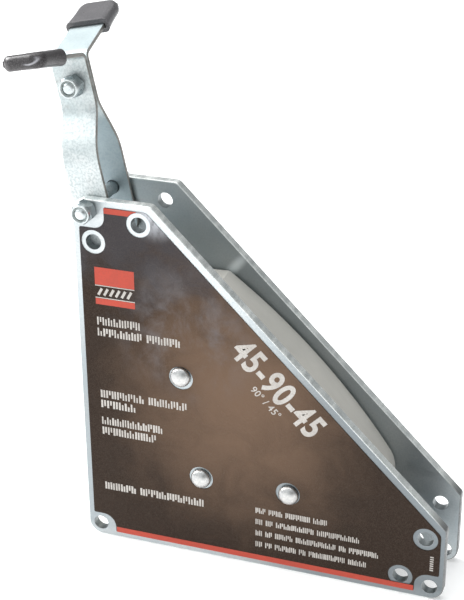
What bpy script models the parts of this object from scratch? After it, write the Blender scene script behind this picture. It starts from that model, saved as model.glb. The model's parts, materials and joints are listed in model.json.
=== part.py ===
"""Magnetic welding square with a T-handled release lever.

Two steel side plates are riveted on either side of a moulded magnet housing. A lever
made of two joggled straps turns on a bolt through the upper corner of the plates. Its
upper ends bend outwards as the two arms of a T handle and wear vinyl caps.

Metres, +Z up. +X runs along the base, and Y = 0 is half way between the plates. The
origin is the bottom centre of the bounding box with the lever at rest.
"""
import math

import bmesh
import bpy
from mathutils import Vector

MM = 0.001

# side plates, measured from the sharp corner where the base meets the upright edge
PLATE_SIDE = 150.0 * MM
SHORT_EDGE = 32.0 * MM
PLATE_THICK = 4.0 * MM
BODY_DEPTH = 31.0 * MM
PLATE_EDGE_ROUND = 0.35 * MM
HEEL_RADIUS = 6.0 * MM
TOE_RADIUS = 5.8 * MM
UPPER_BEND_RADIUS = 3.5 * MM
LOWER_BEND_RADIUS = 2.0 * MM

# small clearance holes through both plates, in mirrored pairs about the 45 degree line
HOLE_RADIUS = 3.1 * MM
CORNER_HOLE = 5.5 * MM
NEAR_HOLE = (8.2 * MM, 132.8 * MM)
FAR_HOLE = (27.0 * MM, 142.0 * MM)

# printed foil on the front plate
LABEL_THICK = 0.2 * MM
LABEL_GAP = 0.05 * MM
LABEL_SIDE_INSET = 2.6 * MM
LABEL_TOP_INSET = 2.5 * MM
LABEL_BASE_INSET = 2.4 * MM
LABEL_SLOPE_INSET = 3.1 * MM
LABEL_RIGHT_INSET = 2.0 * MM
LABEL_NOTCH_TOP = (13.0 * MM, 11.4 * MM)
LABEL_NOTCH_HEEL = (12.2 * MM, 10.4 * MM)
LABEL_NOTCH_TOE = (11.6 * MM, 11.0 * MM)
LABEL_NOTCH_RADIUS = 5.6 * MM
LABEL_TOP_NOTCH_RADIUS = 4.5 * MM
LABEL_SLOPE_BENDS = (3.0 * MM, 3.5 * MM)
LABEL_CORNER_RADIUS = 0.6 * MM
LABEL_RING_RADIUS = 4.9 * MM
LABEL_RIVET_RADIUS = 4.95 * MM
LABEL_RIVET_CENTRES = ((42.7 * MM, 80.05 * MM), (50.4 * MM, 36.3 * MM), (86.6 * MM, 36.2 * MM))

# magnet housing, moulded between the plates
HOUSING_INSET = 3.0 * MM
HOUSING_TOP = 115.5 * MM
HOUSING_TOP_END = 54.0 * MM
HOUSING_RIGHT = 123.3 * MM
HOUSING_RIGHT_RADIUS = 15.0 * MM
HOUSING_BASE_RADIUS = 4.0 * MM
HOUSING_HEEL_CUT = 14.0 * MM
HOUSING_HEEL_RADIUS = 1.5 * MM
HOUSING_UPPER_RADIUS = 2.5 * MM
HOUSING_BOW_END_RADIUS = 0.8 * MM
HOUSING_BOW_STEPS = 12
HOUSING_BOW_RADIUS = 274.0 * MM
HOUSING_BOW_CENTRE = (-104.7 * MM, -106.9 * MM)
HOUSING_EDGE_ROUND = 0.6 * MM

# ferrite rings, two stacked on each rivet
RIVETS = {"upper": (42.7 * MM, 80.75 * MM),
          "corner": (50.4 * MM, 36.3 * MM),
          "lower": (87.0 * MM, 36.0 * MM)}
MAGNET_RADIUS = 16.4 * MM
MAGNET_EDGE = 0.6 * MM
RIVET_RADIUS = 3.2 * MM
RIVET_HEAD_RADIUS = 4.1 * MM
RIVET_CROWN_RADIUS = 0.85 * MM
RIVET_RIM_HEIGHT = 0.4 * MM
RIVET_HEAD_HEIGHT = 3.0 * MM
RIVET_TAIL_HEIGHT = 2.2 * MM

# M5 fasteners with nylon-insert lock nuts
BOLT_RADIUS = 2.5 * MM
HEX_FLATS = 8.0 * MM
HEX_CORNER = HEX_FLATS / math.sqrt(3)
HEX_CHAMFER = 0.45 * MM
HEX_RIM = 3.85 * MM
BOLT_POINT = 0.55 * MM
BOLT_HEAD_HEIGHT = 3.5 * MM
NUT_HEX_HEIGHT = 4.3 * MM
NUT_HEIGHT = 5.8 * MM
COLLAR_RADIUS = 3.75 * MM
COLLAR_BORE = 3.15 * MM
COLLAR_LIP = 0.25 * MM
INSERT_HEIGHT = 0.9 * MM
INSERT_DEPTH = 0.35 * MM
INSERT_GAP = 0.1 * MM
BOLT_PROUD = 0.25 * MM
PIVOT_NUT_TURN = math.radians(10.0)
GRIP_NUT_TURN = math.radians(-20.0)

# release lever, along and across its own axis, which passes through the pivot
PIVOT = (5.9 * MM, 145.8 * MM)
LEVER_LEAN = math.radians(11.8)
STRAP_WIDTH = 14.6 * MM
STRAP_THICK = 1.6 * MM
STRAP_EDGE = 0.2 * MM
STRAP_HEEL = 20.0 * MM
STRAP_SIDE_CLEARANCE = 0.5 * MM
HEEL_CORNER = 6.3 * MM
TIP_CORNER = 4.0 * MM
JOGGLE = {"front": (20.6 * MM, 35.3 * MM), "rear": (18.6 * MM, 36.4 * MM)}
JOGGLE_RADII = (20.0 * MM, 12.0 * MM)
GRIP_BOLT = (0.5 * MM, 44.7 * MM)
TAB_BEND_HEIGHT = 55.4 * MM
TAB_BEND_RADIUS = 2.6 * MM
TAB_RISE = {"front": math.radians(12.0), "rear": math.radians(16.0)}
TAB_REACH = 36.5 * MM

# vinyl caps on the ends of the T handle
CAP_START = {"front": 18.4 * MM, "rear": 20.2 * MM}
CAP_WIDTH = 17.2 * MM
CAP_THICK = 5.7 * MM
CAP_END_WALL = 1.5 * MM
CAP_CORNER = 5.0 * MM
CAP_EDGE = 2.5 * MM
CAP_LIP = 0.3 * MM
CAP_FLARE = 0.5 * MM
CAP_FLARE_LENGTH = 9.0 * MM
CAP_SLOT_CORNER = 0.3 * MM
CAP_TIP_STEPS = 8
CAP_CORNER_STEPS = 4

GAP = 0.3 * MM
CORNER_STEPS = 6
HEX_SIDES = 36
ROUND_SIDES = 30
HOLE_SIDES = 24

HALF_DEPTH = BODY_DEPTH / 2
INNER_Y = HALF_DEPTH - PLATE_THICK

ZINC = ("zinc_plate", (0.60, 0.63, 0.65), 0.34, 1.0)
FOIL = ("printed_foil", (0.075, 0.058, 0.048), 0.28, 0.0)
MOULDING = ("housing_plastic", (0.60, 0.56, 0.50), 0.45, 0.0)
FERRITE = ("ferrite", (0.055, 0.056, 0.060), 0.62, 0.2)
RIVET_STEEL = ("rivet_steel", (0.72, 0.71, 0.68), 0.24, 1.0)
FASTENER = ("fastener_zinc", (0.66, 0.69, 0.70), 0.28, 1.0)
NYLON = ("nylon_insert", (0.10, 0.13, 0.16), 0.50, 0.0)
VINYL = ("black_vinyl", (0.018, 0.018, 0.020), 0.42, 0.0)


def clear_scene():
    for obj in list(bpy.data.objects):
        bpy.data.objects.remove(obj, do_unlink=True)


def material(spec):
    name, colour, roughness, metallic = spec
    mat = bpy.data.materials.get(name)
    if mat:
        return mat
    mat = bpy.data.materials.new(name)
    mat.use_nodes = True
    shader = mat.node_tree.nodes["Principled BSDF"]
    shader.inputs["Base Color"].default_value = (*colour, 1.0)
    shader.inputs["Roughness"].default_value = roughness
    shader.inputs["Metallic"].default_value = metallic
    return mat


def empty(name, location, parent=None, turn_y=0.0):
    obj = bpy.data.objects.new(name, None)
    bpy.context.collection.objects.link(obj)
    obj.location = location
    obj.rotation_euler = (0.0, turn_y, 0.0)
    obj.parent = parent
    return obj


def finish_object(name, bm, spec, parent, smooth_angle=None):
    """Turn a closed bmesh into a named object with its material."""
    bmesh.ops.recalc_face_normals(bm, faces=bm.faces)
    mesh = bpy.data.meshes.new(name)
    bm.to_mesh(mesh)
    bm.free()
    if smooth_angle is not None:
        mesh.shade_smooth()
        mesh.set_sharp_from_angle(angle=smooth_angle)
    mesh.materials.append(material(spec))
    obj = bpy.data.objects.new(name, mesh)
    bpy.context.collection.objects.link(obj)
    obj.parent = parent
    return obj


def add_loft(bm, loops, ring=False, caps=True):
    """Join loops of equal length with quads. A ring joins the last loop to the first."""
    rows = [[bm.verts.new(p) for p in loop] for loop in loops]
    pairs = list(zip(rows, rows[1:]))
    if ring:
        pairs.append((rows[-1], rows[0]))
    for low, high in pairs:
        for i in range(len(low)):
            j = (i + 1) % len(low)
            bm.faces.new((low[i], low[j], high[j], high[i]))
    if caps and not ring:
        bm.faces.new(rows[0])
        bm.faces.new(rows[-1])
    return rows


def rounded_outline(corners, inset=0.0):
    """Anticlockwise outline of (x, z, radius) corners, moved inwards by inset."""
    points = []
    count = len(corners)
    for i, (x, z, radius) in enumerate(corners):
        here = Vector((x, z))
        before = Vector(corners[i - 1][:2])
        after = Vector(corners[(i + 1) % count][:2])
        d_in = (here - before).normalized()
        d_out = (after - here).normalized()
        n_in = Vector((-d_in.y, d_in.x))
        n_out = Vector((-d_out.y, d_out.x))
        corner = here + (n_in + n_out) * (inset / (1.0 + n_in.dot(n_out)))
        if radius == 0.0:
            points.append(corner)
            continue
        side = 1.0 if d_in.cross(d_out) > 0.0 else -1.0
        r = radius - side * inset
        half_turn = d_in.angle(d_out) / 2
        centre = corner - d_in * (r * math.tan(half_turn)) + n_in * (side * r)
        start = -n_in * (side * r)
        for k in range(CORNER_STEPS + 1):
            angle = side * 2 * half_turn * k / CORNER_STEPS
            cos_a, sin_a = math.cos(angle), math.sin(angle)
            points.append(centre + Vector((start.x * cos_a - start.y * sin_a,
                                           start.x * sin_a + start.y * cos_a)))
    return points


def circle_outline(centre, radius, sides):
    turn = 2 * math.pi / sides
    return [Vector((centre[0] + radius * math.cos(i * turn), centre[1] + radius * math.sin(i * turn)))
            for i in range(sides)]


def pierced_slab(name, corners, holes, y_low, y_high, edge, spec, parent):
    """Flat slab in the XZ plane with round holes (centre, radius) and rounded edges."""
    bm = bmesh.new()
    stations = [(edge, y_low), (0.0, y_low + edge), (0.0, y_high - edge), (edge, y_high)]
    if edge == 0.0:
        stations = [(0.0, y_low), (0.0, y_high)]
    rows = []
    outer = [[(p.x, y, p.y) for p in rounded_outline(corners, inset)] for inset, y in stations]
    rows.append(add_loft(bm, outer, caps=False))
    for centre, radius in holes:
        loops = [[(p.x, y, p.y) for p in circle_outline(centre, radius + inset, HOLE_SIDES)]
                 for inset, y in stations]
        rows.append(add_loft(bm, loops, caps=False))
    for end, normal in ((0, (0, -1, 0)), (-1, (0, 1, 0))):
        edges = []
        for row in rows:
            loop = row[end]
            edges += [bm.edges.get((loop[i - 1], loop[i])) for i in range(len(loop))]
        bmesh.ops.triangle_fill(bm, use_beauty=True, use_dissolve=False, edges=edges, normal=normal)
    return finish_object(name, bm, spec, parent)


def turned(name, stations, spec, parent, sides=ROUND_SIDES, centre=(0.0, 0.0), ring=False):
    """Stack of rings about an axis along Y. A station is (y, radius or radius of angle)."""
    bm = bmesh.new()
    loops = []
    for y, radius in stations:
        loop = []
        for i in range(sides):
            angle = 2 * math.pi * i / sides
            r = radius(angle) if callable(radius) else radius
            loop.append((centre[0] + r * math.cos(angle), y, centre[1] + r * math.sin(angle)))
        loops.append(loop)
    add_loft(bm, loops, ring=ring)
    return finish_object(name, bm, spec, parent, smooth_angle=math.radians(32))


def hexagon(limit, turn):
    """Radius of a hexagon with flats on HEX_FLATS, cut off at a limiting circle."""
    def radius(angle):
        off = (angle - turn + math.pi / 6) % (math.pi / 3) - math.pi / 6
        return min(HEX_FLATS / 2 / math.cos(off), limit)
    return radius


def clearance_holes():
    near_x, near_z = NEAR_HOLE
    far_x, far_z = FAR_HOLE
    toe = PLATE_SIDE - CORNER_HOLE
    return [(CORNER_HOLE, CORNER_HOLE), (toe, CORNER_HOLE),
            (near_x, near_z), (near_z, near_x), (far_x, far_z), (far_z, far_x)]


def plate_corners():
    return [(0.0, 0.0, HEEL_RADIUS), (PLATE_SIDE, 0.0, TOE_RADIUS),
            (PLATE_SIDE, SHORT_EDGE, LOWER_BEND_RADIUS), (SHORT_EDGE, PLATE_SIDE, UPPER_BEND_RADIUS),
            (0.0, PLATE_SIDE, TOE_RADIUS)]


def make_plates(frame):
    holes = [(centre, HOLE_RADIUS) for centre in clearance_holes() + [PIVOT]]
    holes += [(centre, RIVET_RADIUS + GAP) for centre in RIVETS.values()]
    for name, low in (("front_plate", -HALF_DEPTH), ("rear_plate", INNER_Y)):
        pierced_slab(name, plate_corners(), holes, low, low + PLATE_THICK, PLATE_EDGE_ROUND, ZINC, frame)


def label_corners():
    """Outline of the foil, with a notch round each of the three fixing corners."""
    left, base = LABEL_SIDE_INSET, LABEL_BASE_INSET
    right = PLATE_SIDE - LABEL_RIGHT_INSET
    top = PLATE_SIDE - LABEL_TOP_INSET
    slope = PLATE_SIDE + SHORT_EDGE - LABEL_SLOPE_INSET * math.sqrt(2)
    heel_x, heel_z = LABEL_NOTCH_HEEL
    toe_x = PLATE_SIDE - LABEL_NOTCH_TOE[0]
    toe_z = LABEL_NOTCH_TOE[1]
    top_x = LABEL_NOTCH_TOP[0]
    top_z = PLATE_SIDE - LABEL_NOTCH_TOP[1]
    lower_bend, upper_bend = LABEL_SLOPE_BENDS
    small = LABEL_CORNER_RADIUS
    return [(heel_x, base, small), (toe_x, base, small), (toe_x, toe_z, LABEL_NOTCH_RADIUS),
            (right, toe_z, small), (right, slope - right, lower_bend), (slope - top, top, upper_bend),
            (top_x, top, small), (top_x, top_z, LABEL_TOP_NOTCH_RADIUS), (left, top_z, small),
            (left, heel_z, small), (heel_x, heel_z, LABEL_NOTCH_RADIUS)]


def make_label(frame):
    holes = [(centre, LABEL_RING_RADIUS) for centre in clearance_holes()[2:]]
    holes += [(centre, LABEL_RIVET_RADIUS) for centre in LABEL_RIVET_CENTRES]
    back = -HALF_DEPTH - LABEL_GAP
    pierced_slab("front_label", label_corners(), holes, back - LABEL_THICK, back, 0.0, FOIL, frame)


def housing_corners():
    """Straight on three sides, bowed outwards along the slope."""
    low = HOUSING_INSET
    cx, cz = HOUSING_BOW_CENTRE
    start = math.acos((HOUSING_RIGHT - cx) / HOUSING_BOW_RADIUS)
    end = math.acos((HOUSING_TOP_END - cx) / HOUSING_BOW_RADIUS)
    corners = [(HOUSING_HEEL_CUT, low, HOUSING_HEEL_RADIUS), (HOUSING_RIGHT, low, HOUSING_BASE_RADIUS)]
    ends = {0: HOUSING_RIGHT_RADIUS, HOUSING_BOW_STEPS: HOUSING_BOW_END_RADIUS}
    for k in range(HOUSING_BOW_STEPS + 1):
        angle = start + (end - start) * k / HOUSING_BOW_STEPS
        radius = ends.get(k, 0.0)
        corners.append((cx + HOUSING_BOW_RADIUS * math.cos(angle),
                        cz + HOUSING_BOW_RADIUS * math.sin(angle), radius))
    corners += [(low, HOUSING_TOP, HOUSING_UPPER_RADIUS), (low, HOUSING_HEEL_CUT, HOUSING_HEEL_RADIUS)]
    return corners


def make_magnet_block(frame):
    holes = [(centre, MAGNET_RADIUS + GAP) for centre in RIVETS.values()]
    face = INNER_Y - GAP
    pierced_slab("magnet_housing", housing_corners(), holes, -face, face, HOUSING_EDGE_ROUND,
                 MOULDING, frame)
    bore = RIVET_RADIUS + 2 * GAP
    for place, centre in RIVETS.items():
        for half, low, high in (("front", -face, -GAP / 2), ("rear", GAP / 2, face)):
            rim = MAGNET_RADIUS - MAGNET_EDGE
            stations = [(low, bore), (low, rim), (low + MAGNET_EDGE, MAGNET_RADIUS),
                        (high - MAGNET_EDGE, MAGNET_RADIUS), (high, rim), (high, bore)]
            turned(f"magnet_{place}_{half}", stations, FERRITE, frame, centre=centre, ring=True)


def head_stations(base, height, direction):
    """Domed rivet head as (y, radius), from its crown to its flat underside."""
    steps = 6
    stations = []
    for k in range(steps + 1):
        angle = math.pi / 2 * k / steps
        rise = RIVET_RIM_HEIGHT + (height - RIVET_RIM_HEIGHT) * math.cos(angle)
        radius = RIVET_CROWN_RADIUS + (RIVET_HEAD_RADIUS - RIVET_CROWN_RADIUS) * math.sin(angle)
        stations.append((base + direction * rise, radius))
    stations.append((base, RIVET_HEAD_RADIUS))
    return stations


def make_rivets(frame):
    seat = HALF_DEPTH + GAP
    for place, centre in RIVETS.items():
        stations = head_stations(-seat, RIVET_HEAD_HEIGHT, -1.0)
        stations += [(-seat, RIVET_RADIUS), (seat, RIVET_RADIUS)]
        stations += reversed(head_stations(seat, RIVET_TAIL_HEIGHT, 1.0))
        turned(f"rivet_{place}", stations, RIVET_STEEL, frame, centre=centre)


def make_bolt(name, head_face, end, turn, parent):
    """Hex bolt along Y. Its head sits behind head_face, and its point is at end."""
    middle = (HEX_CORNER + HEX_RIM) / 2
    top = head_face + BOLT_HEAD_HEIGHT
    stations = [(top, hexagon(HEX_RIM, turn)), (top - HEX_CHAMFER / 2, hexagon(middle, turn)),
                (top - HEX_CHAMFER, hexagon(HEX_CORNER, turn)), (head_face, hexagon(HEX_CORNER, turn)),
                (head_face, BOLT_RADIUS), (end + BOLT_POINT, BOLT_RADIUS), (end, BOLT_RADIUS - BOLT_POINT)]
    turned(name, stations, FASTENER, parent, sides=HEX_SIDES)


def make_lock_nut(name, seat, turn, parent):
    """Lock nut with its flat face at seat and its collar towards -Y, and its nylon ring."""
    middle = (HEX_CORNER + HEX_RIM) / 2
    bore = BOLT_RADIUS + GAP
    shoulder = seat - NUT_HEX_HEIGHT
    front = seat - NUT_HEIGHT
    ledge = front + INSERT_HEIGHT + INSERT_DEPTH
    stations = [(seat, bore), (seat, hexagon(middle, turn)),
                (seat - HEX_CHAMFER / 2, hexagon(HEX_CORNER, turn)),
                (shoulder + HEX_CHAMFER, hexagon(HEX_CORNER, turn)),
                (shoulder + HEX_CHAMFER / 2, hexagon(middle, turn)),
                (shoulder, HEX_RIM), (front + COLLAR_LIP, COLLAR_RADIUS),
                (front, COLLAR_RADIUS - COLLAR_LIP), (front, COLLAR_BORE),
                (ledge, COLLAR_BORE), (ledge, bore)]
    turned(name, stations, FASTENER, parent, sides=HEX_SIDES, ring=True)
    inner = bore - INSERT_GAP
    outer = COLLAR_BORE - INSERT_GAP
    low = ledge - INSERT_GAP
    ring = [(low, inner), (low, outer), (low - INSERT_HEIGHT, outer), (low - INSERT_HEIGHT, inner)]
    turned(name + "_insert", ring, NYLON, parent, ring=True)


def filleted_path(points, radii):
    """Points of a path with its inner corners rounded, as (position, tangent)."""
    path = [(points[0], (points[1] - points[0]).normalized())]
    for i, radius in enumerate(radii, start=1):
        d_in = (points[i] - points[i - 1]).normalized()
        d_out = (points[i + 1] - points[i]).normalized()
        side = 1.0 if d_in.cross(d_out) > 0.0 else -1.0
        turn = d_in.angle(d_out)
        normal = Vector((-d_in.y, d_in.x)) * side
        centre = points[i] - d_in * (radius * math.tan(turn / 2)) + normal * radius
        for k in range(CORNER_STEPS + 1):
            angle = side * turn * k / CORNER_STEPS
            cos_a, sin_a = math.cos(angle), math.sin(angle)
            arm = -normal * radius
            arm = Vector((arm.x * cos_a - arm.y * sin_a, arm.x * sin_a + arm.y * cos_a))
            tangent = Vector((d_in.x * cos_a - d_in.y * sin_a, d_in.x * sin_a + d_in.y * cos_a))
            path.append((centre + arm, tangent))
    last = (points[-1] - points[-2]).normalized()
    path.append((points[-1], last))
    return path


def rounded_end(position, tangent, radius, inwards):
    """Stations from a strip's end to its full width, as (position, tangent, width lost)."""
    stations = []
    for k in range(CORNER_STEPS + 1):
        angle = math.pi / 2 * k / CORNER_STEPS
        back = radius * (1.0 - math.cos(angle))
        lost = radius * (1.0 - math.sin(angle))
        stations.append((position + tangent * (inwards * back), tangent, lost))
    return stations


def strap_path(side, rise, joggle):
    """Middle of a strap seen from its edge, as (y, z). side is -1 in front and 1 behind."""
    joggle_low, joggle_high = joggle
    low_y = side * (INNER_Y - STRAP_SIDE_CLEARANCE - STRAP_THICK / 2)
    high_y = side * (STRAP_THICK + GAP) / 2
    tip_y = side * (TAB_REACH - CAP_END_WALL - GAP)
    tip_z = TAB_BEND_HEIGHT + abs(tip_y - high_y) * math.tan(rise)
    points = [Vector((low_y, -STRAP_HEEL)), Vector((low_y, joggle_low)), Vector((high_y, joggle_high)),
              Vector((high_y, TAB_BEND_HEIGHT)), Vector((tip_y, tip_z))]
    return filleted_path(points, (*JOGGLE_RADII, TAB_BEND_RADIUS))


def strap_section(position, tangent, half_width):
    """Chamfered rectangle across the strap."""
    normal = Vector((-tangent.y, tangent.x)) * (STRAP_THICK / 2)
    thin = normal * (1.0 - 2 * STRAP_EDGE / STRAP_THICK)
    narrow = half_width - STRAP_EDGE
    outline = [(-narrow, -normal), (narrow, -normal), (half_width, -thin), (half_width, thin),
               (narrow, normal), (-narrow, normal), (-half_width, thin), (-half_width, -thin)]
    return [(x, position.x + off.x, position.y + off.y) for x, off in outline]


def drill(obj, name, centre, radius, parent):
    """Cut a round hole along Y through obj with a hidden cutter."""
    bm = bmesh.new()
    loops = [[(p.x, y, p.y) for p in circle_outline(centre, radius, HOLE_SIDES)]
             for y in (-HALF_DEPTH, HALF_DEPTH)]
    add_loft(bm, loops)
    cutter = finish_object(name, bm, ZINC, parent)
    cutter.hide_render = True
    cutter.display_type = "WIRE"
    cut = obj.modifiers.new(name, "BOOLEAN")
    cut.operation = "DIFFERENCE"
    cut.solver = "EXACT"
    cut.object = cutter


def make_strap(name, side, rise, joggle, lever):
    path = strap_path(side, rise, joggle)
    stations = rounded_end(*path[0], HEEL_CORNER, 1.0)
    stations += [(position, tangent, 0.0) for position, tangent in path[1:-1]]
    stations += reversed(rounded_end(*path[-1], TIP_CORNER, -1.0))
    half = STRAP_WIDTH / 2
    bm = bmesh.new()
    add_loft(bm, [strap_section(p, t, half - lost) for p, t, lost in stations])
    strap = finish_object(name, bm, ZINC, lever, smooth_angle=math.radians(25))
    drill(strap, name + "_pivot_drill", (0.0, 0.0), BOLT_RADIUS + GAP, lever)
    drill(strap, name + "_grip_drill", GRIP_BOLT, BOLT_RADIUS + GAP, lever)


def slot_outline(half_width, half_thick, radius):
    """Rounded rectangle with the same number of points at every size."""
    radius = min(radius, half_width, half_thick)
    points = []
    for sx, sz, start in ((1, 1, 0.0), (-1, 1, 0.5), (-1, -1, 1.0), (1, -1, 1.5)):
        for k in range(CAP_CORNER_STEPS + 1):
            angle = math.pi * (start + 0.5 * k / CAP_CORNER_STEPS)
            points.append((sx * (half_width - radius) + radius * math.cos(angle),
                           sz * (half_thick - radius) + radius * math.sin(angle)))
    return points


def make_cap(name, side, rise, mouth, lever):
    """Dipped vinyl cap: a closed tip, a flared mouth and a slot that holds the strap end."""
    along = Vector((side * math.cos(rise), math.sin(rise)))
    up = Vector((-side * math.sin(rise), math.cos(rise)))
    root = Vector((side * (STRAP_THICK + GAP) / 2, TAB_BEND_HEIGHT))
    per_reach = 1.0 / math.cos(rise)
    start = (mouth - abs(root.x)) * per_reach
    tip = (TAB_REACH - abs(root.x)) * per_reach
    slot_end = tip - CAP_END_WALL * per_reach

    def loop(distance, half_width, half_thick, radius):
        origin = root + along * distance
        return [(w, (origin + up * h).x, (origin + up * h).y)
                for w, h in slot_outline(half_width, half_thick, radius)]

    slot_width = STRAP_WIDTH / 2 + GAP
    slot_thick = STRAP_THICK / 2 + GAP
    loops = [loop(slot_end, slot_width, slot_thick, CAP_SLOT_CORNER),
             loop(start, slot_width, slot_thick, CAP_SLOT_CORNER)]
    half_width, half_thick = CAP_WIDTH / 2, CAP_THICK / 2
    wide, thick = half_width + CAP_FLARE, half_thick + CAP_FLARE / 2
    loops.append(loop(start, wide - CAP_LIP, thick - CAP_LIP, CAP_EDGE - CAP_LIP))
    loops.append(loop(start + CAP_LIP, wide, thick, CAP_EDGE))
    loops.append(loop(start + CAP_FLARE_LENGTH, half_width, half_thick, CAP_EDGE))
    for k in range(CAP_TIP_STEPS + 1):
        angle = math.pi / 2 * k / CAP_TIP_STEPS
        distance = tip - CAP_CORNER * (1.0 - math.sin(angle))
        from_tip = tip - distance
        width = half_width - CAP_CORNER * (1.0 - math.cos(angle))
        dip = max(0.0, 1.0 - from_tip / CAP_EDGE)
        thick = half_thick - CAP_EDGE * (1.0 - math.sqrt(max(0.0, 1.0 - dip * dip)))
        loops.append(loop(distance, width, thick, min(CAP_EDGE, thick)))
    bm = bmesh.new()
    add_loft(bm, loops)
    finish_object(name, bm, VINYL, lever, smooth_angle=math.radians(35))


def make_lever(lever):
    for name, side in (("front", -1.0), ("rear", 1.0)):
        make_strap(name + "_strap", side, TAB_RISE[name], JOGGLE[name], lever)
        make_cap(name + "_grip_cap", side, TAB_RISE[name], CAP_START[name], lever)
    face = STRAP_THICK + GAP / 2 + GAP
    grip = empty("grip_bolt_axis", (GRIP_BOLT[0], 0.0, GRIP_BOLT[1]), parent=lever)
    make_bolt("grip_bolt", face, -face - NUT_HEIGHT - BOLT_PROUD, 0.0, grip)
    make_lock_nut("grip_nut", -face, GRIP_NUT_TURN, grip)


def make_pivot(frame):
    """The pivot bolt is clamped to the plates, and the lever turns on it."""
    face = HALF_DEPTH + GAP
    pivot = empty("pivot_axis", (PIVOT[0], 0.0, PIVOT[1]), parent=frame)
    make_bolt("pivot_bolt", face, -face - NUT_HEIGHT - BOLT_PROUD, 0.0, pivot)
    make_lock_nut("pivot_nut", -face, PIVOT_NUT_TURN, pivot)


def centre_on_origin(frame):
    """Slide the whole object along X until its bounding box is centred on the origin."""
    bpy.context.view_layer.update()
    graph = bpy.context.evaluated_depsgraph_get()
    xs = []
    for obj in bpy.data.objects:
        if obj.type == "MESH" and not obj.hide_render:
            evaluated = obj.evaluated_get(graph)
            xs += [(obj.matrix_world @ vertex.co).x for vertex in evaluated.to_mesh().vertices]
            evaluated.to_mesh_clear()
    frame.location.x -= (min(xs) + max(xs)) / 2
    bpy.context.view_layer.update()


def main():
    clear_scene()
    frame = empty("body_frame", (0.0, 0.0, 0.0))
    make_plates(frame)
    make_label(frame)
    make_magnet_block(frame)
    make_rivets(frame)
    make_pivot(frame)
    lever = empty("lever_axis", (PIVOT[0], 0.0, PIVOT[1]), parent=frame, turn_y=-LEVER_LEAN)
    make_lever(lever)
    centre_on_origin(frame)


main()
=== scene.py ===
import json
import random
from math import acos, cos, pi, radians, sin, sqrt, tan

import bmesh
import bpy
from mathutils import Euler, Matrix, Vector


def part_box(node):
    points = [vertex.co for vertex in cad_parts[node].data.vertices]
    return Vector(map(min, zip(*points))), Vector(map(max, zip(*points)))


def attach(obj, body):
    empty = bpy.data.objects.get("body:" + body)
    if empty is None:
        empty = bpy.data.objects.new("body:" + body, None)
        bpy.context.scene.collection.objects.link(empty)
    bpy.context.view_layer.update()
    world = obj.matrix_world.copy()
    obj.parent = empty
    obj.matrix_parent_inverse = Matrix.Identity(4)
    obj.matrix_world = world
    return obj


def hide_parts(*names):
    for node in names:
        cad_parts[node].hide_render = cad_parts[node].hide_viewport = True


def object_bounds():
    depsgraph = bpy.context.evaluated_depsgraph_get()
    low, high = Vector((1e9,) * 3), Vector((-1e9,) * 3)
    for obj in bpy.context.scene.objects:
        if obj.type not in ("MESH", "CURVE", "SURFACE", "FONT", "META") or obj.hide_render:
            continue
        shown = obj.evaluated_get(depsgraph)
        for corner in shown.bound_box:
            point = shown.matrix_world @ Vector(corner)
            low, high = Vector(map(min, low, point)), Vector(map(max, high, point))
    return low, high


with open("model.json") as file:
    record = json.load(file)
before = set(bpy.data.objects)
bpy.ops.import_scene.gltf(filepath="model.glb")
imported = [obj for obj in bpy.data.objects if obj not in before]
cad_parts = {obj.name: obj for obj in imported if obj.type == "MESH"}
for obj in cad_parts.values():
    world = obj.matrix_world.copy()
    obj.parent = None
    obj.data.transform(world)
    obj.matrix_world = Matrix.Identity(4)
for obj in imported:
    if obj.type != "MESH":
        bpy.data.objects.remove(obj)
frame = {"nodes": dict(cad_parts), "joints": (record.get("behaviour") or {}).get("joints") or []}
cad_low, cad_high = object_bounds()

MM = 0.001


def mm(*values):
    """Millimetres as metres."""
    return tuple(value * MM for value in values)


# ---- places, from the frame
plate_low, plate_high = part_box("front_plate")
rear_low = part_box("rear_plate")[0]
pivot = Vector(frame["joints"][0]["pos_m"])
LEFT = plate_low.x
FRONT = plate_low.y
PLATE_THICK = plate_high.y - plate_low.y
PLATE_SIDE = plate_high.x - plate_low.x
HALF_DEPTH = -FRONT
INNER_Y = HALF_DEPTH - PLATE_THICK
PIVOT = (pivot.x - LEFT, pivot.z)

# ---- sizes: outlines as in the CAD, edges and fasteners in more detail
SHORT_EDGE = 32.0 * MM
PLATE_EDGE_ROUND = 0.45 * MM
HOLE_EDGE_ROUND = 0.12 * MM
HEEL_RADIUS = 6.0 * MM
TOE_RADIUS = 5.8 * MM
UPPER_BEND_RADIUS = 3.5 * MM
LOWER_BEND_RADIUS = 2.0 * MM
HOLE_RADIUS = 3.1 * MM
CORNER_HOLE = 5.5 * MM
NEAR_HOLE = mm(8.2, 132.8)
FAR_HOLE = mm(27.0, 142.0)
RIVETS = {"upper": mm(42.7, 80.75), "corner": mm(50.4, 36.3), "lower": mm(87.0, 36.0)}
GAP = 0.3 * MM

LABEL_FACE = -HALF_DEPTH - 0.25 * MM
LABEL_BACK = -HALF_DEPTH - 0.05 * MM
LABEL_RING_RADIUS = 4.9 * MM
LABEL_RIVET_RADIUS = 4.95 * MM
LABEL_RIVET_CENTRES = (mm(42.7, 80.05), mm(50.4, 36.3), mm(86.6, 36.2))
LABEL_LEFT = 2.6 * MM
LABEL_BASE = 2.4 * MM
LABEL_RIGHT = PLATE_SIDE - 2.0 * MM
LABEL_TOP = PLATE_SIDE - 2.5 * MM
LABEL_SLOPE_MARGIN = 3.1 * MM
HEEL_NOTCH = mm(12.2, 10.4)
TOE_NOTCH = (PLATE_SIDE - 11.6 * MM, 11.0 * MM)
TOP_NOTCH = (13.0 * MM, PLATE_SIDE - 11.4 * MM)
NOTCH_RADIUS = 5.6 * MM
TOP_NOTCH_RADIUS = 4.5 * MM
LABEL_CORNER = 0.6 * MM
LABEL_UPPER_BEND = 3.5 * MM
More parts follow.
